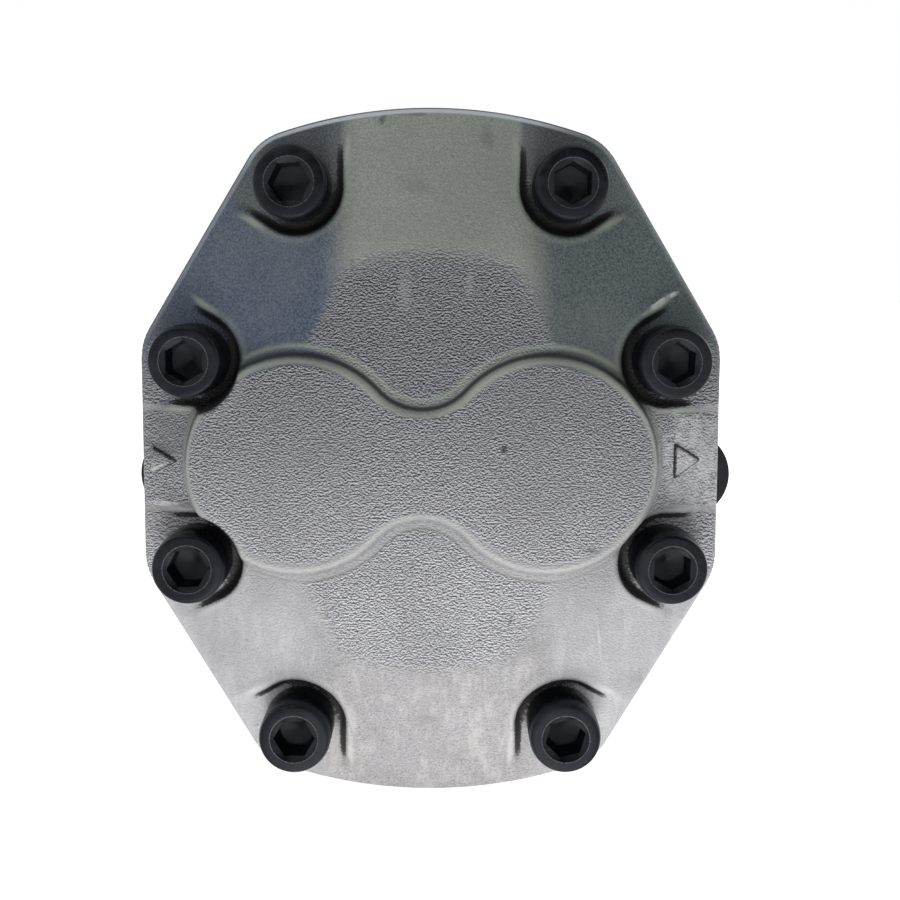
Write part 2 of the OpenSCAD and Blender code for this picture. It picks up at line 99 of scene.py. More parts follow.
def housing_outline(inset, spacing):
    """The eight-sided outline with rounded corners and bowed ends, moved inward."""
    def steps(length):
        return max(4, int(length / spacing))

    corner = edge_margin - inset
    flat = math.hypot(side_screw[0] - end_screw[0], end_screw[1] - side_screw[1])
    first = np.stack([np.full(steps(side_screw[1]), side_screw[0] + corner),
                      np.linspace(0, side_screw[1], steps(side_screw[1]), endpoint=False)], 1)
    side = arc_points(side_screw, corner, 0, slope_angle, steps(corner * 0.54))
    end = arc_points(end_screw, corner, slope_angle, end_angle, steps(corner * 0.7))
    across = np.linspace(0, 1, steps(flat), endpoint=False)[1:, None]
    slope = side[-1] * (1 - across) + end[0] * across
    bow = arc_points((0, end_centre), end_radius - inset, end_angle, 90, steps(34))[1:]
    quarter = np.concatenate([first, side, slope, end, bow])
    left = quarter[::-1][1:] * (-1, 1)
    upper = np.concatenate([quarter, left])
    return np.concatenate([upper, upper[::-1][1:-1] * (1, -1)])


def edge_distance(points, outline):
    """Distance from each point to the closed outline."""
    starts, ends = outline, np.roll(outline, -1, axis=0)
    best = np.full(len(points), np.inf)
    for start, end in zip(starts, ends):
        along = end - start
        share = np.clip(((points - start) @ along) / (along @ along), 0, 1)
        gap = points - start - share[:, None] * along
        best = np.minimum(best, np.hypot(gap[:, 0], gap[:, 1]))
    return best


def soft_min(a, b, blend):
    share = np.clip(0.5 + 0.5 * (b - a) / blend, 0, 1)
    return b + (a - b) * share - blend * share * (1 - share)


def ramp(value, start, end):
    """0 up to start, 1 from end on, and smooth between them; start may be the larger one."""
    share = np.clip((value - start) / (end - start), 0, 1)
    return share * share * (3 - 2 * share)


def ridge(value, centre, reach, flat=0.0):
    """1 at the centre and 0 beyond the reach on both sides, with a flat crest if given."""
    return ramp(1 + flat - np.abs(value - centre) / reach, 0, 1)


rim_table = housing_outline(rim_round, 1.0)
rim_angles = np.arctan2(rim_table[:, 1], rim_table[:, 0])
rim_order = np.argsort(rim_angles)
rim_radii = np.hypot(rim_table[:, 0], rim_table[:, 1])[rim_order]
rim_angles = rim_angles[rim_order]


def flank_share(x, y):
    """0 at the rim and 1 where the flank meets the flat top."""
    halvings, largest = 18, 1.9
    low, high = np.zeros_like(x), np.full_like(x, largest)
    for _ in range(halvings):
        share = (low + high) / 2
        u, v = x / (1 - top_inset_x * share), y / (1 - top_inset_y * share)
        outside = np.hypot(u, v) > np.interp(np.arctan2(v, u), rim_angles, rim_radii,
                                             period=2 * math.pi)
        high = np.where(outside, share, high)
        low = np.where(outside, low, share)
    return low


def wedge_distance(x, y, centre, first, second):
    """Distance from the open wedge between two directions at a screw's centre."""
    px, py = x - centre[0], y - centre[1]
    gaps, inside = [], np.ones_like(px, bool)
    for angle, turn in ((first, 1), (second, -1)):
        dx, dy = math.cos(math.radians(angle)), math.sin(math.radians(angle))
        cross = dx * py - dy * px
        gaps.append(np.where(px * dx + py * dy > 0, np.abs(cross), np.hypot(px, py)))
        inside &= cross * turn >= 0
    return np.where(inside, 0, np.minimum(*gaps))


pockets = ((end_screw, slope_angle, 90), (side_screw, 0, slope_angle))


def pocket_distance(x, y):
    """How far each point lies outside the nearest screw pocket's floor."""
    x, y = np.abs(x), np.abs(y)
    return np.minimum(*[wedge_distance(x, y, *pocket) for pocket in pockets]) - pad_radius


blend_height = math.sqrt((lobe_radius + neck_blend) ** 2 - lobe_x ** 2)


def boss_distance(x, y):
    """Signed distance to the figure-eight, negative on the boss."""
    x, y = np.abs(x - boss_shift), np.abs(y)
    neck = -lobe_x * y - blend_height * (x - lobe_x) > 0
    waist = neck_blend - np.hypot(x, y - blend_height)
    waist = np.where(y > blend_height, neck_blend + y - blend_height, waist)
    return np.where(neck, waist, np.hypot(x - lobe_x, y) - lobe_radius)


def arrow_gap(x, y):
    """Signed distance to the outline of the nearest flow arrow, negative on it."""
    nearest = np.full_like(x, np.inf)
    for left, mid, width, height in arrows:
        slant = math.atan2(height / 2, width)
        upper = (y - mid) * math.cos(slant) + (x - left - width) * math.sin(slant)
        lower = -(y - mid) * math.cos(slant) + (x - left - width) * math.sin(slant)
        inside = soft_min(-upper, soft_min(-lower, x - left, arrow_corner), arrow_corner)
        nearest = np.minimum(nearest, -inside)
    return nearest


def boss_profile(gap):
    """Height of the boss alone: flat on top, a wide cubic edge, then a drafted wall."""
    wall_start = math.sqrt(1 / boss_draft / (3 * boss_curl)) - boss_roll
    roll = np.clip(gap, -boss_roll, wall_start) + boss_roll
    return boss_rise - boss_curl * roll ** 3 - np.maximum(0, gap - wall_start) / boss_draft


def cover_rise(x, y, edge):
    """Height above the screw seats, and the distances that the cast finish follows."""
    share, boss_gap = flank_share(x, y), boss_distance(x, y)
    arrow, wall_gap = arrow_gap(x, y), pocket_distance(x, y)
    dome = dome_rise * soft_min(share, np.ones_like(share), top_edge_blend)
    uncut = -soft_min(-dome, -boss_profile(boss_gap), boss_foot_blend) + arrow_rise * ramp(arrow, 0.3, -0.3)
    lip = np.minimum(lip_round, 0.55 * uncut)
    foot = np.clip(wall_gap + foot_round, 0, foot_round)
    wall = foot_round - np.sqrt(foot_round ** 2 - foot ** 2) + np.maximum(0, wall_gap) / wall_draft
    beyond = wall_gap - (uncut - lip - foot_round) * wall_draft
    rolled = uncut - lip + np.sqrt(np.maximum(0, lip ** 2 - np.maximum(0, lip - beyond) ** 2))
    cut = np.minimum(np.where(beyond > 0, rolled, wall), wall)
    gentle = uncut * ramp(wall_gap, -1.3, 2.1)
    height = gentle + (cut - gentle) * ramp(uncut, 0.5, 2.5)
    drop = np.maximum(0, rim_round - edge)
    height = height - (rim_round - np.sqrt(np.maximum(0, rim_round ** 2 - drop ** 2)))
    return height, {"share": share, "boss_gap": boss_gap, "arrow": arrow, "wall_gap": wall_gap,
                    "beyond": beyond, "uncut": uncut}


def grain_mask(x, y, edge, place):
    """1 where the skin is sand-rough: on the flat top, on the boss and beside the arrows."""
    boss_gap, wall_gap = place["boss_gap"], place["wall_gap"]
    at_side = ramp(np.abs(x), 44, 50) * ramp(np.abs(y), 31, 25)
    low = ramp(y, 10, -20)
    off_waist = ramp(np.abs(y), 5, 17)
    top = np.maximum(ramp(place["share"], 0.86, 1.14), 0.85 * at_side) * ramp(boss_gap - low, 0.6, 2.0)
    boss = ramp(boss_gap + off_waist * (0.8 + low), -0.3, -1.8)
    grain = np.maximum(np.maximum(top, 0.3 * low), boss) * ramp(wall_gap, 1.0, 2.2)
    grain = np.where(wall_gap < 0.2, 0.2 + 0.6 * at_side, grain)
    return grain * np.maximum(ramp(edge, 0, 2.5), 0.8 * at_side)


def dirt_and_shade_mask(x, y, place):
    """1 where dirt and painted shade sit: on the pocket walls, beside them on the deep seats where shade
    falls, and round the arrows.
    """
    wall_gap, uncut = place["wall_gap"], place["uncut"]
    wall = ramp(wall_gap, -1.9, -0.7) * ramp(place["beyond"], 0.9, 0.0) * ramp(uncut, 0.4, 2.2)
    seat = 0.95 * (wall_gap < 0) * ramp(wall_gap, -6.05, -0.55) * ramp(uncut, 1.8, 4.4)
    # Painted shade along the arrows' outlines, weaker on the left arrow's lit lower side.
    left, right = 0.6 + 0.28 * ramp(y, -1.5, 1.5), 0.85 + 0.05 * ramp(y, -1.5, 1.5)
    cut = ridge(place["arrow"], 0.2, 0.55) * np.where(x > 0, right, left)
    return np.maximum(wall, np.maximum(seat, cut))


def crease_shade_mask(y, boss_gap):
    """1 in the painted shade line at the foot of the boss, which is strong on its upper side."""
    upper = ramp(y, -12, 14)
    line = ridge(boss_gap, 0.45, 0.55, flat=0.4) * upper
    return np.maximum(line, 0.35 * ridge(boss_gap, 2.3, 0.5) * (1 - upper))


def lip_and_highlight_mask(y, height, place):
    """1 on the pocket lips, which are worn and painted as highlights, and on painted highlights along the
    boss's edge and the arrows' lower edges.
    """
    boss_gap, beyond = place["boss_gap"], place["beyond"]
    upper, off_waist = ramp(y, -12, 14), ramp(np.abs(y), 5, 17)
    lip = ramp(beyond, 0.5, 1.2) * ramp(beyond, 2.7, 1.6) * ramp(height, 0.4, 1.4)
    lip = lip * (0.3 + 0.7 * ramp(height, 3.2, 1.7))
    edge_line = (0.2 + 0.8 * off_waist) * (0.75 + 0.25 * upper) * ridge(boss_gap, -0.9, 1.2)
    foot_line = (0.45 + 0.4 * upper) * ridge(boss_gap, 2.2, 1.0)
    boss = np.maximum(edge_line, foot_line) * (place["wall_gap"] > 1.5)
    arrow = ridge(place["arrow"], -0.55, 0.6) * ramp(y, -0.2, -1.2)
    return np.maximum(np.maximum(lip, boss), arrow)


point_spacing = 1.0
rim_insets = (0, 0.12, 0.35, 0.7, 1.15, 1.65, 2.2, 3.0)
boss_gaps = np.linspace(-3.0, 3.4, 17)
wall_gaps = (-1.8, -1.4, -1.0, -0.65, -0.35, -0.12, 0, 0.12, 0.3, 0.5, 0.7, 0.9, 1.1, 1.3, 1.5, 1.75,
             2.05, 2.4, 2.8, 3.3)
wall_leg, arrow_step = 22, 0.2
net_step, net_row = 1.5, 1.299


def contour_rows():
    """Rows of points that follow the boss, the pocket walls and the arrows."""
    rows = []
    for gap in boss_gaps:
        angle = math.degrees(math.atan2(blend_height, lobe_x))
        lobe = arc_points((lobe_x, 0), lobe_radius + gap, angle - 180, 180 - angle, 150)
        waist = arc_points((0, blend_height), neck_blend - gap, -angle, angle - 180, 34)
        half = np.concatenate([lobe, waist[1:-1]])
        rows.append(half + (boss_shift, 0))
        rows.append(half * (-1, -1) + (boss_shift, 0))
    for centre, first, second in pockets:
        for gap in wall_gaps:
            radius = pad_radius + gap
            bend = arc_points(centre, radius, second + 90, first + 270, int(radius * 3.6))
            legs = np.linspace(wall_leg / 44, wall_leg, 44)[:, None]
            for angle, foot in ((second, bend[0]), (first, bend[-1])):
                way = np.array([math.cos(math.radians(angle)), math.sin(math.radians(angle))])
                bend = np.concatenate([bend, foot + legs * way])
            rows += [bend * (sx, sy) for sx in (-1, 1) for sy in (-1, 1)]
    for left, mid, width, height in arrows:
        across, up = np.meshgrid(np.arange(left - 1, left + width + 1, arrow_step),
                                 np.arange(mid - height / 2 - 1, mid + height / 2 + 1, arrow_step))
        rows.append(np.stack([across.ravel(), up.ravel()], 1))
    return np.concatenate(rows)


def net_between():
    """A staggered net of points wherever no contour row runs."""
    across, up = np.meshgrid(np.arange(-66, 66, net_step), np.arange(-80, 80, net_row))
    across = across + net_step / 2 * (np.arange(across.shape[0]) % 2)[:, None]
    net = np.stack([across.ravel(), up.ravel()], 1)
    wall_gap = pocket_distance(net[:, 0], net[:, 1])
    clear = (wall_gap > 4.2) | (wall_gap < -2.3)
    clear &= np.abs(boss_distance(net[:, 0], net[:, 1]) - 0.2) > 4.0
    for left, mid, width, height in arrows:
        clear &= ~((np.abs(net[:, 0] - left - width / 2) < width / 2 + 1.6)
                   & (np.abs(net[:, 1] - mid) < height / 2 + 1.6))
    return net[clear]


def cover_plan():
    """Plan points of the cover: the rim's rows first, then all that lies inside them."""
    rim_rows = [housing_outline(inset, point_spacing) for inset in rim_insets]
    inner = np.concatenate([contour_rows(), net_between()])
    reach = np.hypot(inner[:, 0], inner[:, 1])
    limit = np.interp(np.arctan2(inner[:, 1], inner[:, 0]), rim_angles, rim_radii, period=2 * math.pi)
    return np.concatenate(rim_rows + [inner[reach < limit - 1.2]]), rim_rows[0]


plan, rim = cover_plan()
rim_face, keep_inside, merge_distance = list(range(len(rim))), 1, 0.02
found = geometry.delaunay_2d_cdt([Vector(p) for p in plan], [], [rim_face], keep_inside, merge_distance)
spots = np.array([tuple(p) for p in found[0]])
spot_x, spot_y = spots[:, 0], spots[:, 1]
edge = edge_distance(spots, rim)
heights, place = cover_rise(spot_x, spot_y, edge)
masks = {"grain": grain_mask(spot_x, spot_y, edge, place), "dirt": dirt_and_shade_mask(spot_x, spot_y, place),
         "crease": crease_shade_mask(spot_y, place["boss_gap"]), "worn_lip": lip_and_highlight_mask(spot_y, heights, place),
         "inset": edge, "screw_seat": ramp(place["wall_gap"], 1.0, -1.0)}

cover_mesh = bmesh.new()
wave_depth, waves_per_mm = 0.08, 0.11
for (x, y), rise in zip(spots, heights):
    wave = -abs(noise.fractal(Vector((x, y, 0)) * waves_per_mm, 1.0, 2.0, 3)) * wave_depth
    cover_mesh.verts.new(cover_place(x, y, rise + wave * min(1.0, max(0.0, rise))))
cover_mesh.verts.ensure_lookup_table()
for face in found[2]:
    cover_mesh.faces.new([cover_mesh.verts[i] for i in face])
for name, values in masks.items():
    layer = cover_mesh.verts.layers.float.new(name)
    for vert, value in zip(cover_mesh.verts, values):
        vert[layer] = value

# The side wall drops from the rim to a small chamfer at the joint.
inset_layer = cover_mesh.verts.layers.float["inset"]
joint_chamfer = 0.4 * MM
for rise in (-3.2, 0.5 - pad_rise, -pad_rise):
    border = [e for e in cover_mesh.edges if e.is_boundary]
    skirt = bmesh.ops.extrude_edge_only(cover_mesh, edges=border)["geom"]
    for vert in [v for v in skirt if isinstance(v, bmesh.types.BMVert)]:
        vert.co.y = joint_y - (pad_rise + rise) * MM
        vert[inset_layer] = rim_insets[-1]
        if rise == -pad_rise:
            vert.co.x -= math.copysign(joint_chamfer, vert.co.x)
            vert.co.z -= math.copysign(joint_chamfer, vert.co.z - middle_z)
bmesh.ops.holes_fill(cover_mesh, edges=[e for e in cover_mesh.edges if e.is_boundary])
bmesh.ops.recalc_face_normals(cover_mesh, faces=cover_mesh.faces)


def piece(name, source, sharp_angle=math.radians(50)):
    """A new object from a bmesh, smooth where its faces meet at a low angle."""
    mesh = bpy.data.meshes.new(name)
    source.to_mesh(mesh)
    source.free()
    item = bpy.data.objects.new(name, mesh)
    bpy.context.scene.collection.objects.link(item)
    mesh.shade_smooth()
    mesh.set_sharp_from_angle(angle=sharp_angle)
    return item


cover = piece("cast_rear_cover", cover_mesh)


def node(tree, kind, *, inputs=None, **settings):
    """A shader node with its settings and the values or links of its inputs."""
    made = tree.nodes.new(kind)
    for key, value in settings.items():
        setattr(made, key, value)
    for key, value in (inputs or {}).items():
        if isinstance(value, bpy.types.NodeSocket):
            tree.links.new(value, made.inputs[key])
        else:
            made.inputs[key].default_value = value
    return made


def noise_at(tree, where, scale, detail=3.0, roughness=0.6):
    return node(tree, "ShaderNodeTexNoise", inputs={
        "Vector": where, "Scale": scale, "Detail": detail, "Roughness": roughness}).outputs["Fac"]


def math_of(tree, operation, first, second=0.0, clamp=False):
    return node(tree, "ShaderNodeMath", operation=operation, use_clamp=clamp,
                inputs={0: first, 1: second}).outputs[0]


def product(tree, *factors):
    result = factors[0]
    for factor in factors[1:]:
        result = math_of(tree, "MULTIPLY", result, factor)
    return result


def span(tree, value, low, high, out_low=0.0, out_high=1.0):
    """A smooth change from out_low to out_high while the value goes from low to high."""
    return node(tree, "ShaderNodeMapRange", interpolation_type="SMOOTHSTEP", inputs={
        "Value": value, "From Min": low, "From Max": high,
        "To Min": out_low, "To Max": out_high}).outputs["Result"]


def tint(tree, factor, first, second):
    """The first colour at a factor of 0 and the second at 1."""
    mixed = node(tree, "ShaderNodeMix", data_type="RGBA")
    for index, value in ((0, factor), (6, first), (7, second)):
        if isinstance(value, bpy.types.NodeSocket):
            tree.links.new(value, mixed.inputs[index])
        else:
            mixed.inputs[index].default_value = value if index == 0 else (*value, 1)
    return mixed.outputs[2]


def finish(name, build, metallic, **plain):
    """A material whose build function gives colour, roughness, height and its depth in metres."""
    made = bpy.data.materials.new(name)
    made.use_nodes = True
    tree = made.node_tree
    shader = tree.nodes["Principled BSDF"]
    where = node(tree, "ShaderNodeTexCoord").outputs["Object"]
    colour, roughness, height, depth = build(tree, where)
    bump = node(tree, "ShaderNodeBump", inputs={"Strength": 1.0, "Distance": depth, "Height": height})
    tree.links.new(colour, shader.inputs["Base Color"])
    tree.links.new(roughness, shader.inputs["Roughness"])
    tree.links.new(bump.outputs["Normal"], shader.inputs["Normal"])
    shader.inputs["Metallic"].default_value = metallic
    for key, value in plain.items():
        shader.inputs[key.replace("_", " ")].default_value = value
    return made


def effect(name, inputs, outputs, build):
    """A shader node group with named float inputs and outputs."""
    group = bpy.data.node_groups.new(name, "ShaderNodeTree")
    group.interface.new_socket("Place", in_out="INPUT", socket_type="NodeSocketVector")
    for key, value in inputs.items():
        socket = group.interface.new_socket(key, in_out="INPUT", socket_type="NodeSocketFloat")
        socket.default_value = value
    for key in outputs:
        group.interface.new_socket(key, in_out="OUTPUT", socket_type="NodeSocketFloat")
    enter, leave = group.nodes.new("NodeGroupInput"), group.nodes.new("NodeGroupOutput")
    for key, value in build(group, enter.outputs).items():
        group.links.new(value, leave.inputs[key])
    return group


def use_effect(tree, group, where, **values):
    made = node(tree, "ShaderNodeGroup", node_tree=group, inputs={"Place": where})
    for key, value in values.items():
        if isinstance(value, bpy.types.NodeSocket):
            tree.links.new(value, made.inputs[key])
        else:
            made.inputs[key].default_value = value
    return made.outputs


def build_grime(tree, given):
    patches = noise_at(tree, given["Place"], given["Patch Scale"], 4.0, 0.62)
    specks = noise_at(tree, given["Place"], given["Speck Scale"], 2.0, 0.5)
    return {"Patches": span(tree, patches, 0.4, 0.68), "Specks": span(tree, specks, 0.7, 0.78)}


def build_cast_skin(tree, given):
    """Sand grain in flat wavelets, with painted relief shading: the last output is 1 on the lit underside
    of each crest and 0 on its shaded upper side.
    """
    wavelet_stretch, relief_step, relief_shade_contrast = (0.68, 1.0, 1.0), (0.0, 0.0, 0.00015), 0.055
    flat = node(tree, "ShaderNodeVectorMath", operation="MULTIPLY", inputs={
        0: given["Place"], 1: wavelet_stretch}).outputs[0]
    above = node(tree, "ShaderNodeVectorMath", operation="ADD", inputs={0: flat, 1: relief_step}).outputs[0]
    here = noise_at(tree, flat, given["Grain Scale"], 2.0, 0.5)
    higher = noise_at(tree, above, given["Grain Scale"], 2.0, 0.5)
    uneven = span(tree, noise_at(tree, given["Place"], 110.0), 0.35, 0.65, 0.65, 1.25)
    fine = noise_at(tree, given["Place"], 5200.0, 2.0, 0.5)
    height = math_of(tree, "ADD", product(tree, here, given["Roughness"]), product(tree, fine, 0.1))
    slope = product(tree, uneven, math_of(tree, "SUBTRACT", higher, here))
    return {"Height": height, "Grain": here, "Lit Side": span(tree, slope, -relief_shade_contrast, relief_shade_contrast)}


def build_mark(tree, given):
    """A soft oval with a ragged outline, set at one place on the cover's face."""
    split = node(tree, "ShaderNodeSeparateXYZ", inputs={"Vector": given["Place"]}).outputs
    across = math_of(tree, "SUBTRACT", split["X"], given["Across"])
    along = math_of(tree, "SUBTRACT", split["Z"], given["Up"])
    across = math_of(tree, "SUBTRACT", across, product(tree, along, given["Lean"]))
    wide = math_of(tree, "POWER", math_of(tree, "DIVIDE", across, given["Half Width"]), 2.0)
    tall = math_of(tree, "POWER", math_of(tree, "DIVIDE", along, given["Half Height"]), 2.0)
    ragged = product(tree, noise_at(tree, given["Place"], 420.0, 5.0, 0.75), 2.6)
    away = math_of(tree, "ADD", math_of(tree, "ADD", wide, tall), ragged)
    return {"Mask": span(tree, away, 2.0, 1.1)}


grime = effect("grime", {"Patch Scale": 45.0, "Speck Scale": 700.0}, ("Patches", "Specks"), build_grime)
cast_skin = effect("cast_skin", {"Grain Scale": 1250.0, "Roughness": 1.0},
                   ("Height", "Grain", "Lit Side"), build_cast_skin)
mark = effect("mark_and_painted_light", {"Across": 0.0, "Up": 0.0, "Lean": 0.0, "Half Width": MM,
                                "Half Height": MM}, ("Mask",), build_mark)


def attribute(tree, name):
    return node(tree, "ShaderNodeAttribute", attribute_name=name).outputs["Fac"]


# Colours are linear. Two in one pair are the dark and the pale grains of a speckled skin, or
# for the crests, the grain shade and the lip highlights the tone low on the cover and the tone high on it,
# darker up high as painted shade.
painted_crest_light_tones = (0.83, 0.83, 0.87), (0.36, 0.365, 0.395)
painted_grain_shade_tones = (0.17, 0.17, 0.19), (0.02, 0.022, 0.03)
hole_tone = (0.05, 0.05, 0.06)
smooth_relief_shade_tones = (0.28, 0.28, 0.29), (0.4, 0.4, 0.41)
# Painted light, shade and reflection on the flanks: a greenish darker top flank, dark bluish upper slopes
# and shaded upper seats; the lower flank and its corners painted bright.
top_flank_shade_tones = (0.24, 0.27, 0.23), (0.36, 0.39, 0.345)
left_slope_shade_tones = (0.022, 0.038, 0.072), (0.1, 0.13, 0.195)
right_slope_shade_tones = (0.03, 0.048, 0.06), (0.115, 0.14, 0.15)
upper_seat_shade_tones = (0.05, 0.06, 0.063), (0.125, 0.15, 0.155)
low_flank_light_tones = (0.325, 0.315, 0.318), (0.555, 0.538, 0.55)
run_tone, cloud_tone, pit_tone = (0.7, 0.68, 0.65), (0.32, 0.305, 0.285), (0.1, 0.1, 0.1)
low_corner_light_tone = (0.8, 0.795, 0.86)
grime_tone, speck_tone, dirt_and_shade_tone = (0.2, 0.2, 0.2), (0.1, 0.1, 0.1), (0.018, 0.017, 0.016)
lip_wear_and_highlight_tones = (0.68, 0.67, 0.66), (0.36, 0.405, 0.325)
crease_shade_tone = (0.028, 0.032, 0.028)
rim_highlight_tone, rim_shade_tone = (0.6, 0.67, 0.74), (0.02, 0.022, 0.026)

# Where each painted light or shade tone begins and where it is full, in metres up (Z) and across (X) in the
# part's frame.
upper_shade_from, low_flank_from, top_flank_from = (-0.024, 0.06), (0.012, -0.01), (0.052, 0.075)
slope_from, slope_across, slope_shift = (0.043, 0.053), (0.017, 0.027), 0.00145
seat_from, rim_from, top_rim_from = (0.07, 0.078), (0.04, 0.08), (0.092, 0.104)
right_rim_across, low_corner_across = (0.022, 0.034), (0.02, 0.034)

# Across, up, lean, half width and half height in millimetres, then strength and tone.
marks_and_painted_light = (
    (-10.9, 105.2, 0.3, 1.6, 1.7, 0.8, (0.05, 0.055, 0.05)),  # dark spot at the top edge
    (-5.0, 106.4, 0.0, 7.0, 0.7, 0.5, (0.09, 0.1, 0.09)),  # dark line along the top edge
    (12.5, 101.0, -0.2, 2.4, 4.5, 0.45, (0.12, 0.135, 0.15)),  # smudges on the top flank
    (-4.0, 90.0, -0.6, 7.0, 2.8, 0.35, (0.17, 0.185, 0.19)),
    (-5.7, 66.8, 0.0, 2.2, 9.0, 0.4, (0.36, 0.36, 0.37)),  # pale runs over the sand grain
    (8.5, 69.0, 0.05, 1.6, 8.0, 0.35, (0.36, 0.36, 0.37)),
    (16.1, 32.1, 0.0, 1.4, 1.3, 0.95, (0.02, 0.02, 0.022)),  # deep pit on the boss
    (38.8, -13.1, -0.12, 0.6, 9.0, 0.6, (0.7, 0.69, 0.68)),  # scratches on the lower half
    (17.9, -7.7, 0.35, 0.6, 2.6, 0.75, (0.1, 0.1, 0.14)),
    (48.7, -25.8, -0.3, 3.0, 6.0, 0.3, (0.3, 0.3, 0.31)),  # grey patches on the lower half
    (0.0, -32.5, 0.0, 5.0, 4.0, 0.35, (0.22, 0.22, 0.22)),
    (35.3, 9.6, -0.5, 3.0, 1.3, 0.6, (0.11, 0.11, 0.11)),  # dirt on the boss's edge
    (-60.3, 34.9, 0.0, 6.0, 13.0, 0.45, (0.13, 0.14, 0.17)),  # shade on the left side
    (60.5, 27.5, 0.0, 14.0, 18.0, 0.6, (0.7, 0.7, 0.72)),  # painted light on the right side
    (-63.2, 25.9, 1.93, 1.3, 1.8, 0.95, (0.95, 0.95, 0.97)),  # light and shade on the arrows
    (-62.8, 30.8, -1.93, 3.4, 2.6, 0.8, (0.13, 0.16, 0.17)),
    (60.3, 26.7, 1.56, 1.1, 2.0, 0.7, (0.85, 0.85, 0.87)),
    (-61.5, 17.6, 0.0, 5.5, 0.9, 0.75, (0.85, 0.85, 0.88)),  # painted highlights on the pocket lips
    (52.2, 64.2, 1.48, 1.9, 3.6, 0.9, (0.8, 0.78, 0.84)),
)


def sand_colour(tree, where, lit_side, high):
    """The rough skin: painted relief shading, pale on the lit undersides of the crests and dark on their
    upper sides, and small dark holes.
    """
    grains = tint(tree, lit_side, tint(tree, high, *painted_grain_shade_tones), tint(tree, high, *painted_crest_light_tones))
    holes = span(tree, noise_at(tree, where, 2600.0, 1.0, 0.5), 0.4, 0.3, 0.0, 0.6)
    return tint(tree, holes, grains, hole_tone)


def low_flank_light_colour(tree, where, speckle, sideways):
    """The lower flank painted bright as by the light from below, its corners brighter still, with runs and
    clouds from handling and small dark pits.
    """
    hanging = node(tree, "ShaderNodeVectorMath", operation="MULTIPLY", inputs={
        0: where, 1: (1.0, 1.0, 0.22)}).outputs[0]
    runs = span(tree, noise_at(tree, hanging, 420.0), 0.47, 0.66, 0.0, 0.6)
    clouds = span(tree, noise_at(tree, where, 170.0, 5.0, 0.75), 0.48, 0.64, 0.0, 0.45)
    pits = span(tree, noise_at(tree, where, 2100.0, 1.0, 0.5), 0.66, 0.72, 0.0, 0.8)
    lit_corners = span(tree, sideways, *low_corner_across, 0.0, 0.4)
    colour = tint(tree, speckle, *low_flank_light_tones)
    colour = tint(tree, runs, colour, run_tone)
    colour = tint(tree, clouds, colour, cloud_tone)
    colour = tint(tree, pits, colour, pit_tone)
    return tint(tree, lit_corners, colour, low_corner_light_tone)


def flank_light_and_shade_colour(tree, where, split, grain, colour):
    """Painted light and shade on the smooth flanks and the upper seats over the colour given: greenish
    shade on the top flank, dark bluish slopes, shaded upper seats and a bright lower flank.
    """
    across, up = split["X"], split["Z"]
    sideways = math_of(tree, "ABSOLUTE", across)
    uneven_sides = math_of(tree, "ABSOLUTE", math_of(tree, "SUBTRACT", across, slope_shift))
    smooth = math_of(tree, "SUBTRACT", 1.0, grain, clamp=True)
    speckle = span(tree, noise_at(tree, where, 2300.0, 2.0, 0.7), 0.36, 0.64)
    right_side = span(tree, across, -0.01, 0.01)
    slope_colour = tint(tree, right_side, tint(tree, speckle, *left_slope_shade_tones),
                        tint(tree, speckle, *right_slope_shade_tones))
    slope = product(tree, span(tree, up, *slope_from), span(tree, uneven_sides, *slope_across),
                    span(tree, grain, 0.9, 0.4, 0.0, 0.92))
    seat = product(tree, attribute(tree, "screw_seat"), span(tree, up, *seat_from, 0.0, 0.85))
    top = product(tree, smooth, span(tree, up, *top_flank_from, 0.0, 0.9))
    low = product(tree, smooth, span(tree, up, *low_flank_from, 0.0, 0.88))
    colour = tint(tree, top, colour, tint(tree, speckle, *top_flank_shade_tones))
    colour = tint(tree, slope, colour, slope_colour)
    colour = tint(tree, seat, colour, tint(tree, speckle, *upper_seat_shade_tones))
    return tint(tree, low, colour, low_flank_light_colour(tree, where, speckle, sideways))


def marked_colour(tree, where, colour):
    """The marks of handling and of painted light and shade, then patches and specks of grime, over the
    colour given.
    """
    for across, rise, lean, width, height, strength, tone in marks_and_painted_light:
        mask = use_effect(tree, mark, where, **{
            "Across": across * MM, "Up": rise * MM, "Lean": lean,
            "Half Width": width * MM, "Half Height": height * MM})["Mask"]
        colour = tint(tree, product(tree, mask, strength), colour, tone)
    marks = use_effect(tree, grime, where, **{"Patch Scale": 38.0, "Speck Scale": 620.0})
    colour = tint(tree, product(tree, marks["Patches"], 0.22), colour, grime_tone)
    return tint(tree, product(tree, marks["Specks"], 0.5), colour, speck_tone)


def wear_and_edge_light_colour(tree, split, high, colour):
    """Worn lips with painted highlights, painted shade in the crease round the boss, and the rim's painted
    highlight with a painted dark reflection on its outer line.
    """
    across, up = split["X"], split["Z"]
    inset, worn_lip, crease = (attribute(tree, name) for name in ("inset", "worn_lip", "crease"))
    # Worn lips and painted highlights on the edges, pale low on the cover and greenish higher up.
    colour = tint(tree, product(tree, worn_lip, 0.7), colour, tint(tree, high, *lip_wear_and_highlight_tones))
    # Painted shade in the crease round the boss's foot.
    colour = tint(tree, product(tree, crease, 0.92), colour, crease_shade_tone)
    # Painted highlight along the rim's round, strongest at the top, and a painted dark reflection on its
    # outer line in the upper half.
    upper = span(tree, up, *rim_from)
    rim_highlight = product(tree, span(tree, inset, 0.4, 0.7), span(tree, inset, 1.7, 1.2), upper,
                     span(tree, up, *top_rim_from, 0.25, 0.95),
                     span(tree, across, *right_rim_across, 1.0, 0.3))
    colour = tint(tree, rim_highlight, colour, rim_highlight_tone)
    return tint(tree, product(tree, span(tree, inset, 0.5, 0.25), upper, 0.8), colour, rim_shade_tone)


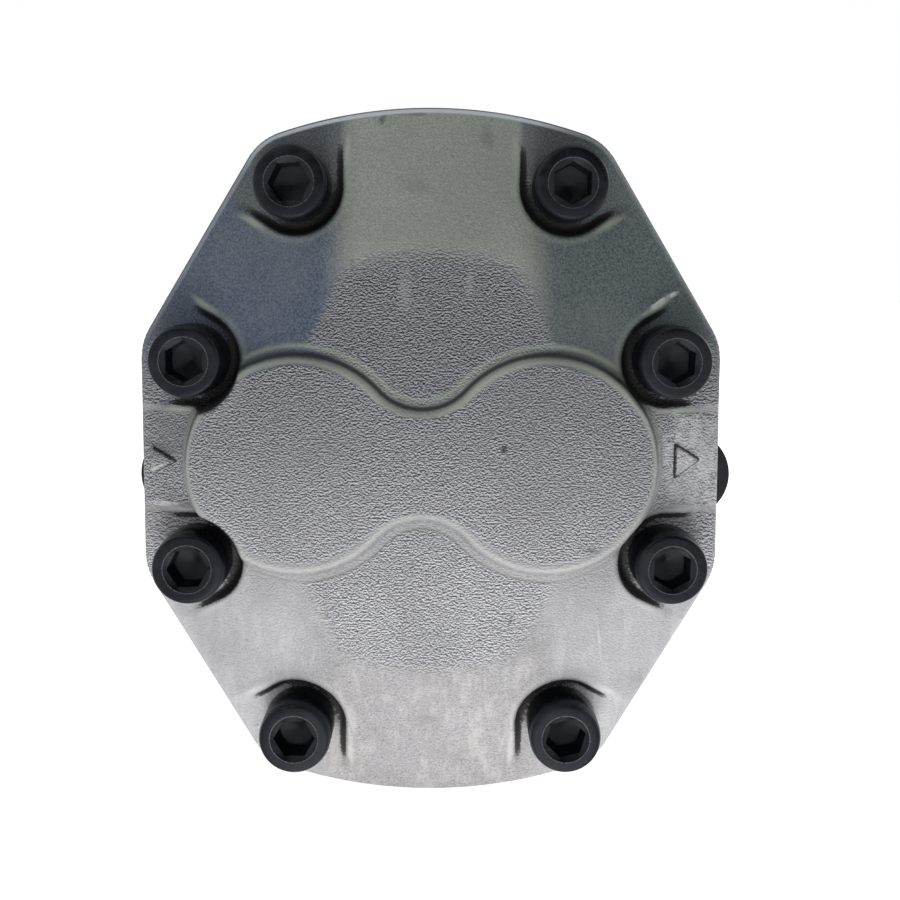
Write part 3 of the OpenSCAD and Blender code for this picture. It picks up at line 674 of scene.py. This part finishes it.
def dirt_and_shade_colour(tree, grains, colour):
    """Black dirt and painted shade with a ragged outline where the cover's mask of dirt and shade calls for
    it.
    """
    dirt = attribute(tree, "dirt")
    ragged = product(tree, math_of(tree, "SUBTRACT", grains, 0.5), 0.9)
    stain_and_shade = span(tree, math_of(tree, "ADD", dirt, ragged), 0.25, 0.75)
    return tint(tree, product(tree, stain_and_shade, span(tree, dirt, 0.02, 0.2), 0.93), colour, dirt_and_shade_tone)


def cast_cover_finish(tree, where):
    grain = attribute(tree, "grain")
    skin = use_effect(tree, cast_skin, where, **{
        "Grain Scale": 2450.0, "Roughness": span(tree, grain, 0.05, 0.9, 0.2, 1.0)})
    split = node(tree, "ShaderNodeSeparateXYZ", inputs={"Vector": where}).outputs
    # Painted shade: the crest, grain-shade and lip tones darken higher up the cover, away from the light
    # below.
    high = span(tree, split["Z"], *upper_shade_from)
    # Painted relief shading on the smooth skin: darker on the upper sides of its grains, paler on their lit
    # undersides.
    smooth = tint(tree, skin["Lit Side"], *smooth_relief_shade_tones)
    rough = sand_colour(tree, where, skin["Lit Side"], high)
    colour = tint(tree, span(tree, grain, 0.1, 0.8), smooth, rough)
    colour = flank_light_and_shade_colour(tree, where, split, grain, colour)
    colour = marked_colour(tree, where, colour)
    colour = wear_and_edge_light_colour(tree, split, high, colour)
    colour = dirt_and_shade_colour(tree, skin["Grain"], colour)
    return colour, span(tree, grain, 0.0, 1.0, 0.5, 0.65), skin["Height"], 0.00045


cast_aluminium = finish("cast_aluminium_skin", cast_cover_finish, 0.35)
cover.data.materials.append(cast_aluminium)
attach(cover, "housing")
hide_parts("rear_cover")

# Cover screws.
# Eight M10 socket-head cap screws in black-oxide steel, with a hexagon socket, a rounded
# crown and an edge round the socket worn bright; each stands at the angle it came tight at.

head_radius, head_height, shank_radius = 8.13, 10.0, 5.0
screw_reach = 125.0
socket_flat, socket_depth, worn_radius = 8.0, 5.2, 5.42
around = 144


def screw_rings():
    """Radius and height of each ring from the socket's floor over the crown to the tip."""
    turn = np.radians(np.arange(around) * 360 / around)
    hexagon = (socket_flat / 2) / np.cos(turn % (math.pi / 3) - math.pi / 6)
    one = np.ones(around)
    floor = head_height - socket_depth
    rings = [(0.4 * one, floor - 1.3), (3.5 * one, floor - 0.05), (0.97 * hexagon, floor),
             (0.99 * hexagon, floor + 0.15), (hexagon, floor + 0.5),
             (hexagon, head_height - 0.75), (1.01 * hexagon, head_height - 0.6)]
    mouth = [(5.15, head_height - 0.14), (5.28, head_height - 0.04), (worn_radius, head_height),
             (5.58, head_height)]
    crown = [(6.7, head_height), (6.95, head_height - 0.04)]
    crown += [(head_radius - 1.05 + 0.85 * math.sin(a), head_height - 0.9 + 0.87 * math.cos(a))
              for a in np.radians((25, 45, 65, 85))]
    side = [(head_radius - 0.03, head_height - 1.3), (head_radius - 0.03, 1.2),
            (head_radius - 0.2, 0.7), (head_radius - 0.25, 0.35), (head_radius - 0.6, 0)]
    shank = [(shank_radius, 0), (shank_radius, 1 - screw_reach), (shank_radius - 0.9, -screw_reach)]
    return turn, rings + [(radius * one, z) for radius, z in mouth + crown + side + shank]


screw_mesh = bmesh.new()
worn_layer = screw_mesh.verts.layers.float.new("worn_edge")
turn, rings = screw_rings()
loops = [[screw_mesh.verts.new((r * math.cos(a) * MM, r * math.sin(a) * MM, z * MM))
          for r, a in zip(radii, turn)] for radii, z in rings]
for loop, (radii, z) in zip(loops, rings):
    for vert in loop:
        vert[worn_layer] = float(radii[0] == worn_radius)
for lower, upper in zip(loops, loops[1:]):
    for i in range(around):
        screw_mesh.faces.new((lower[i], lower[(i + 1) % around], upper[(i + 1) % around], upper[i]))
for ring in (loops[0], loops[-1]):
    screw_mesh.faces.new(ring)
bmesh.ops.recalc_face_normals(screw_mesh, faces=screw_mesh.faces)
screw_pattern = piece("screw_pattern", screw_mesh, sharp_angle=math.radians(32))

# The end screw and the side screw of each quarter, and the degrees that they are turned by.
screw_spots = [(sx * x, sy * y) for sx in (-1, 1) for sy in (-1, 1) for x, y in (end_screw, side_screw)]
screw_turns = (0, 2, 3, 30, 15, 30, 30, 27)
seats = bmesh.new()
turn_layer = seats.verts.layers.float.new("turn")
for (x, y), degrees in zip(screw_spots, screw_turns):
    seats.verts.new(cover_place(x, y, 0))[turn_layer] = math.radians(degrees)
screws = piece("cover_screw_set", seats)


def repeat_tree(name, attribute_name, tilt):
    """Geometry nodes that set one pattern on every point, turned about its own axis."""
    tree = bpy.data.node_groups.new(name, "GeometryNodeTree")
    tree.interface.new_socket("Geometry", in_out="INPUT", socket_type="NodeSocketGeometry")
    pattern = tree.interface.new_socket("Pattern", in_out="INPUT", socket_type="NodeSocketObject")
    skin = tree.interface.new_socket("Skin", in_out="INPUT", socket_type="NodeSocketMaterial")
    tree.interface.new_socket("Geometry", in_out="OUTPUT", socket_type="NodeSocketGeometry")
    given = tree.nodes.new("NodeGroupInput").outputs
    spin = node(tree, "GeometryNodeInputNamedAttribute", data_type="FLOAT",
                inputs={"Name": attribute_name}).outputs["Attribute"]
    own = node(tree, "ShaderNodeCombineXYZ", inputs={"Z": spin}).outputs[0]
    lean = node(tree, "FunctionNodeRotateEuler", space="LOCAL", inputs={"Rotation": tilt, "Rotate By": own})
    source = node(tree, "GeometryNodeObjectInfo", inputs={"Object": given["Pattern"]})
    placed = node(tree, "GeometryNodeInstanceOnPoints", inputs={
        "Points": given["Geometry"], "Instance": source.outputs["Geometry"],
        "Rotation": lean.outputs[0]})
    real = node(tree, "GeometryNodeRealizeInstances", inputs={"Geometry": placed.outputs["Instances"]})
    dressed = node(tree, "GeometryNodeSetMaterial", inputs={
        "Geometry": real.outputs["Geometry"], "Material": given["Skin"]})
    leave = tree.nodes.new("NodeGroupOutput")
    tree.links.new(dressed.outputs["Geometry"], leave.inputs["Geometry"])
    return tree, pattern.identifier, skin.identifier


def black_oxide_finish(tree, where):
    marks = use_effect(tree, grime, where, **{"Patch Scale": 160.0, "Speck Scale": 1500.0})
    fine = noise_at(tree, where, 2600.0, 3.0, 0.6)
    colour = tint(tree, marks["Patches"], (0.006, 0.0075, 0.012), (0.015, 0.017, 0.024))
    colour = tint(tree, product(tree, marks["Specks"], 0.5), colour, (0.07, 0.067, 0.065))
    rubbed = product(tree, attribute(tree, "worn_edge"), span(tree, fine, 0.35, 0.6, 0.15, 0.8))
    colour = tint(tree, rubbed, colour, (0.15, 0.15, 0.17))
    rough = span(tree, marks["Patches"], 0.0, 1.0, 0.27, 0.42)
    return colour, rough, fine, 0.00003


black_oxide = finish("black_oxide_steel", black_oxide_finish, 0.4, Specular_IOR_Level=0.28)


def bake_modifiers(item):
    """Turns what the modifiers make into the object's own plain mesh."""
    graph = bpy.context.evaluated_depsgraph_get()
    result = bpy.data.meshes.new_from_object(item.evaluated_get(graph))
    item.modifiers.clear()
    item.data = result


screw_tree, pattern_key, skin_key = repeat_tree("screw_places", "turn", (math.pi / 2, 0, 0))
placing = screws.modifiers.new("screw_places", "NODES")
placing.node_group = screw_tree
placing[pattern_key] = screw_pattern
placing[skin_key] = black_oxide
bake_modifiers(screws)
bpy.data.objects.remove(screw_pattern)
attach(screws, "housing")
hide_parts("cover_screws")

# Front flange.
# A grey-iron casting painted black, with a machined spigot and mounting face; its two
# round ears show as black tips on both sides of the cover.


def softened(name, source, width):
    """A clean copy of a CAD node whose sharp edges are broken by a small round."""
    copy = bmesh.new()
    copy.from_mesh(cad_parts[source].data)
    merge_distance, flat_angle, sharp_edge = 0.002 * MM, math.radians(0.3), math.radians(28)
    bmesh.ops.remove_doubles(copy, verts=copy.verts, dist=merge_distance)
    bmesh.ops.dissolve_limit(copy, angle_limit=flat_angle, verts=copy.verts, edges=copy.edges)
    item = piece(name, copy, sharp_angle=math.pi)
    rounding = item.modifiers.new("edge_break", "BEVEL")
    rounding.width = width * MM
    rounding.segments = 2
    rounding.limit_method = "ANGLE"
    rounding.angle_limit = sharp_edge
    rounding.harden_normals = True
    bake_modifiers(item)
    return item


def shaft_radius(tree, split):
    """Distance from the drive shaft's axis, round which turned faces have their rings."""
    flat = node(tree, "ShaderNodeCombineXYZ", inputs={"X": split["X"], "Y": split["Z"]}).outputs[0]
    return node(tree, "ShaderNodeVectorMath", operation="LENGTH", inputs={0: flat}).outputs["Value"]


def iron_finish(tree, where):
    """Black paint over the cast skin, and bare turned metal in front of the mounting face."""
    skin = use_effect(tree, cast_skin, where, **{"Grain Scale": 900.0, "Roughness": 0.8})
    marks = use_effect(tree, grime, where, **{"Patch Scale": 55.0, "Speck Scale": 480.0})
    colour = tint(tree, marks["Patches"], (0.009, 0.0095, 0.012), (0.019, 0.0195, 0.024))
    colour = tint(tree, product(tree, marks["Specks"], 0.5), colour, (0.075, 0.06, 0.05))
    split = node(tree, "ShaderNodeSeparateXYZ", inputs={"Vector": where}).outputs
    paint_edge = -0.0009, -0.0002
    turned = span(tree, split["Y"], *paint_edge)
    radius = shaft_radius(tree, split)
    across = node(tree, "ShaderNodeCombineXYZ", inputs={"X": radius, "Y": split["Y"]}).outputs[0]
    rings = noise_at(tree, across, 2200.0, 3.0, 0.6)
    face = tint(tree, rings, (0.05, 0.05, 0.052), (0.13, 0.13, 0.135))
    face = tint(tree, product(tree, marks["Patches"], 0.15), face, (0.05, 0.042, 0.036))
    colour = tint(tree, product(tree, turned, 0.9), colour, face)
    rough = span(tree, marks["Patches"], 0.0, 1.0, 0.47, 0.55)
    height = tint(tree, turned, skin["Height"], product(tree, rings, 0.3))
    return colour, rough, height, 0.00018


flange = softened("front_flange_casting", "front_flange", 0.7)
black_iron = finish("black_cast_iron", iron_finish, 0.0, Specular_IOR_Level=0.3)
flange.data.materials.clear()
flange.data.materials.append(black_iron)
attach(flange, "housing")
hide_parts("front_flange")

# Centre body.
# An aluminium extrusion sawn to length: fine lines run along its sides, and its joint
# faces, bores and port faces are machined bright.


def build_tool_lines(tree, given):
    """Broad and fine lines along the shaft's direction, as a die or a saw leaves them."""
    drawn_out = (1.0, 0.025, 1.0)
    along = node(tree, "ShaderNodeVectorMath", operation="MULTIPLY", inputs={
        0: given["Place"], 1: drawn_out}).outputs[0]
    broad = noise_at(tree, along, given["Line Scale"], 3.0, 0.7)
    fine = noise_at(tree, along, product(tree, given["Line Scale"], 4.5), 2.0, 0.6)
    return {"Lines": math_of(tree, "ADD", product(tree, broad, 0.65), product(tree, fine, 0.35))}


tool_lines = effect("tool_lines", {"Line Scale": 1400.0}, ("Lines",), build_tool_lines)


def extruded_finish(tree, where):
    lines = use_effect(tree, tool_lines, where, **{"Line Scale": 1100.0})["Lines"]
    marks = use_effect(tree, grime, where, **{"Patch Scale": 30.0, "Speck Scale": 520.0})
    colour = tint(tree, lines, (0.36, 0.365, 0.375), (0.62, 0.625, 0.635))
    colour = tint(tree, product(tree, marks["Patches"], 0.16), colour, (0.27, 0.27, 0.27))
    colour = tint(tree, product(tree, marks["Specks"], 0.5), colour, (0.12, 0.12, 0.12))
    return colour, span(tree, marks["Patches"], 0.0, 1.0, 0.38, 0.44), lines, 0.00005


body = softened("centre_body_extrusion", "pump_body", 0.35)
machined_aluminium = finish("machined_aluminium", extruded_finish, 0.75)
body.data.materials.clear()
body.data.materials.append(machined_aluminium)
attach(body, "housing")
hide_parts("pump_body")

# Gear shafts.
# Case-hardened steel, each gear in one with its shaft: ground journals, honed tooth
# flanks and a hobbed spline that carries a thin film of oil.


def ground_steel_finish(tree, where):
    split = node(tree, "ShaderNodeSeparateXYZ", inputs={"Vector": where}).outputs
    along = node(tree, "ShaderNodeCombineXYZ", inputs={"Y": split["Y"]}).outputs[0]
    rings = noise_at(tree, along, 5200.0, 3.0, 0.6)
    marks = use_effect(tree, grime, where, **{"Patch Scale": 70.0, "Speck Scale": 800.0})
    colour = tint(tree, rings, (0.42, 0.42, 0.43), (0.6, 0.6, 0.61))
    colour = tint(tree, product(tree, marks["Patches"], 0.35), colour, (0.3, 0.27, 0.23))
    return colour, span(tree, marks["Patches"], 0.0, 1.0, 0.22, 0.36), rings, 0.000012


ground_steel = finish("ground_steel", ground_steel_finish, 1.0)
for name, source, rider in (("drive_shaft_and_gear", "drive_gear_shaft", "drive_shaft"),
                            ("driven_shaft_and_gear", "driven_gear_shaft", "driven_shaft")):
    shaft = softened(name, source, 0.15)
    shaft.data.materials.clear()
    shaft.data.materials.append(ground_steel)
    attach(shaft, rider)
    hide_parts(source)


def dress(material, *sources):
    """Gives CAD nodes whose shape is final their material."""
    for source in sources:
        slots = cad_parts[source].data.materials
        slots.clear()
        slots.append(material)


dress(ground_steel, "front_dowels", "rear_dowels")

# Bearing blocks and bushes.
# Two floating blocks of die-cast aluminium, turned on their faces, carry steel-backed
# bronze bushes; behind each lies a rubber pressure seal with a white backing ring.


def turned_finish(tree, where):
    split = node(tree, "ShaderNodeSeparateXYZ", inputs={"Vector": where}).outputs
    radians_per_metre = 21000.0
    rings = math_of(tree, "SINE", product(tree, shaft_radius(tree, split), radians_per_metre))
    uneven = noise_at(tree, where, 900.0, 2.0, 0.5)
    height = math_of(tree, "ADD", product(tree, rings, 0.3), uneven)
    colour = tint(tree, uneven, (0.45, 0.455, 0.45), (0.66, 0.665, 0.66))
    return colour, span(tree, uneven, 0.2, 0.8, 0.3, 0.42), height, 0.00003


def bronze_finish(tree, where):
    wear = noise_at(tree, where, 420.0, 3.0, 0.6)
    fine = noise_at(tree, where, 6000.0, 2.0, 0.5)
    colour = tint(tree, wear, (0.34, 0.2, 0.08), (0.56, 0.38, 0.17))
    return colour, span(tree, wear, 0.2, 0.8, 0.26, 0.44), fine, 0.00001


def rubber_of(dark, light):
    """A rubber finish between two close tones."""
    def rubber_finish(tree, where):
        bloom = noise_at(tree, where, 260.0, 3.0, 0.6)
        fine = noise_at(tree, where, 4200.0, 2.0, 0.5)
        return tint(tree, bloom, dark, light), span(tree, bloom, 0.2, 0.8, 0.5, 0.68), fine, 0.00002
    return rubber_finish


def ring_plastic_finish(tree, where):
    cloud = noise_at(tree, where, 300.0, 2.0, 0.5)
    colour = tint(tree, cloud, (0.68, 0.66, 0.58), (0.78, 0.76, 0.69))
    return colour, span(tree, cloud, 0, 1, 0.3, 0.42), cloud, 0.00002


dress(finish("turned_aluminium", turned_finish, 0.8), "front_bearing_block", "rear_bearing_block",
      "seal_spacer")
dress(finish("bearing_bronze", bronze_finish, 0.9), "drive_front_bush", "drive_rear_bush",
      "driven_front_bush", "driven_rear_bush")
dress(finish("black_rubber", rubber_of((0.012, 0.012, 0.012), (0.026, 0.026, 0.025)), 0.0),
      "front_block_seal", "rear_block_seal", "front_body_seal", "rear_body_seal")
dress(finish("white_ring_plastic", ring_plastic_finish, 0.0), "front_backup_ring", "rear_backup_ring")

# Shaft seals.
# Two brown rubber lip seals stand back to back round the shaft with a spacer between
# them; the inner one has its garter spring, and a phosphated snap ring keeps them in.

dress(finish("brown_rubber", rubber_of((0.05, 0.024, 0.015), (0.085, 0.045, 0.03)), 0.0),
      "shaft_seal", "dust_seal")
dress(black_oxide, "seal_retaining_ring")
dress(ground_steel, "seal_spring")

# Camera, lights and surroundings.
# The camera stands where the photograph was taken from, a little above the middle of the
# cover and close to it; a low soft light from below the lens brightens the lower flanks.

lens_pixels, image_pixels = 868.2, 900
centre_column, centre_row = 451.06, 348.1
camera_place = Vector((3.0, -328.5, 67.4)) * MM
down_tilt, side_tilt, roll = math.radians(3.99), math.radians(0.43), math.radians(-0.18)
camera_data = bpy.data.cameras.new("photo_camera")
camera_data.sensor_width = 36
camera_data.lens = lens_pixels / image_pixels * camera_data.sensor_width
camera_data.shift_x = (image_pixels / 2 - centre_column) / image_pixels
camera_data.shift_y = (centre_row - image_pixels / 2) / image_pixels
camera_data.clip_start = 0.01
camera = bpy.data.objects.new("photo_camera", camera_data)
camera.matrix_world = (Matrix.Translation(camera_place)
                       @ Matrix.Rotation(math.pi / 2 - down_tilt, 4, "X")
                       @ Matrix.Rotation(-side_tilt, 4, "Y") @ Matrix.Rotation(-roll, 4, "Z"))
bpy.context.scene.collection.objects.link(camera)
bpy.context.scene.camera = camera


def lamp(name, place, target, size, power, seen_in_metal=True):
    """A round area lamp at a place, in metres, turned to its target."""
    data = bpy.data.lights.new(name, "AREA")
    data.shape = "DISK"
    data.size = size
    data.energy = power
    item = bpy.data.objects.new(name, data)
    item.location = place
    item.rotation_euler = (Vector(target) - Vector(place)).to_track_quat("-Z", "Y").to_euler()
    item.visible_glossy = seen_in_metal
    bpy.context.scene.collection.objects.link(item)


lamp("low_front_light", (0.01, -0.5, -0.36), (0, -0.14, 0.02), 0.24, 1.7, seen_in_metal=False)
lamp("low_sheen_light", (0.01, -0.46, -0.33), (0, -0.14, 0.02), 0.4, 0.6)
lamp("high_front_light", (-0.3, -0.7, 0.6), (0, -0.1, 0.03), 0.5, 0.8)
lamp("shaft_side_light", (0.5, 0.8, 0.6), (0, 0, 0), 0.8, 6.0, seen_in_metal=False)
lamp("outlet_side_light", (1.0, 0.35, 0.5), (0, -0.02, 0), 0.7, 2.0)


def white_room_rays(tree):
    """1 for rays from the lens, from gloss and through glass, which all see a white room."""
    rays = node(tree, "ShaderNodeLightPath").outputs
    return math_of(tree, "MAXIMUM", rays["Is Camera Ray"],
                   math_of(tree, "MAXIMUM", rays["Is Glossy Ray"], rays["Is Transmission Ray"]))


def matt_material(name, colour):
    made = bpy.data.materials.new(name)
    made.use_nodes = True
    shader = made.node_tree.nodes["Principled BSDF"]
    shader.inputs["Base Color"].default_value = (*colour, 1)
    shader.inputs["Roughness"].default_value = 0.9
    return made, shader


def flat_sheet(name, half_width, material):
    sheet = bmesh.new()
    bmesh.ops.create_grid(sheet, x_segments=1, y_segments=1, size=half_width)
    item = piece(name, sheet)
    item.data.materials.append(material)
    return item


world = bpy.data.worlds.new("white_room")
bpy.context.scene.world = world
world.use_nodes = True
sky = world.node_tree
background = sky.nodes["Background"]
background.inputs["Color"].default_value = (1, 1, 1, 1)
light_level, seen_level = 0.35, 1.0
sky.links.new(span(sky, white_room_rays(sky), 0.0, 1.0, light_level, seen_level),
              background.inputs["Strength"])

shade_material, _ = matt_material("dark_room_side", (0.04, 0.045, 0.05))
for name, place, lean in (("dark_room_front", (0, -0.8, 0.95), 75), ("dark_room_back", (0, 0.7, 0.95), 90)):
    shade = flat_sheet(name, 0.8, shade_material)
    shade.location = place
    shade.rotation_euler = (math.radians(lean), 0, 0)
    shade.visible_camera = shade.visible_shadow = shade.visible_diffuse = False

floor_drop, floor_size, floor_front, floor_glow = 0.002, 4.0, 0.01, 0.75
floor_material, floor_shader = matt_material("pale_floor", (0.9, 0.9, 0.9))
floor_shader.inputs["Emission Color"].default_value = (1, 1, 1, 1)
floor_tree = floor_material.node_tree
floor_tree.links.new(product(floor_tree, white_room_rays(floor_tree), floor_glow),
                     floor_shader.inputs["Emission Strength"])
floor = flat_sheet("pale_floor", floor_size, floor_material)
floor.location = (0, cad_box[0].y - floor_front + floor_size, cad_box[0].z - floor_drop)

bpy.context.scene.view_settings.view_transform = "Standard"
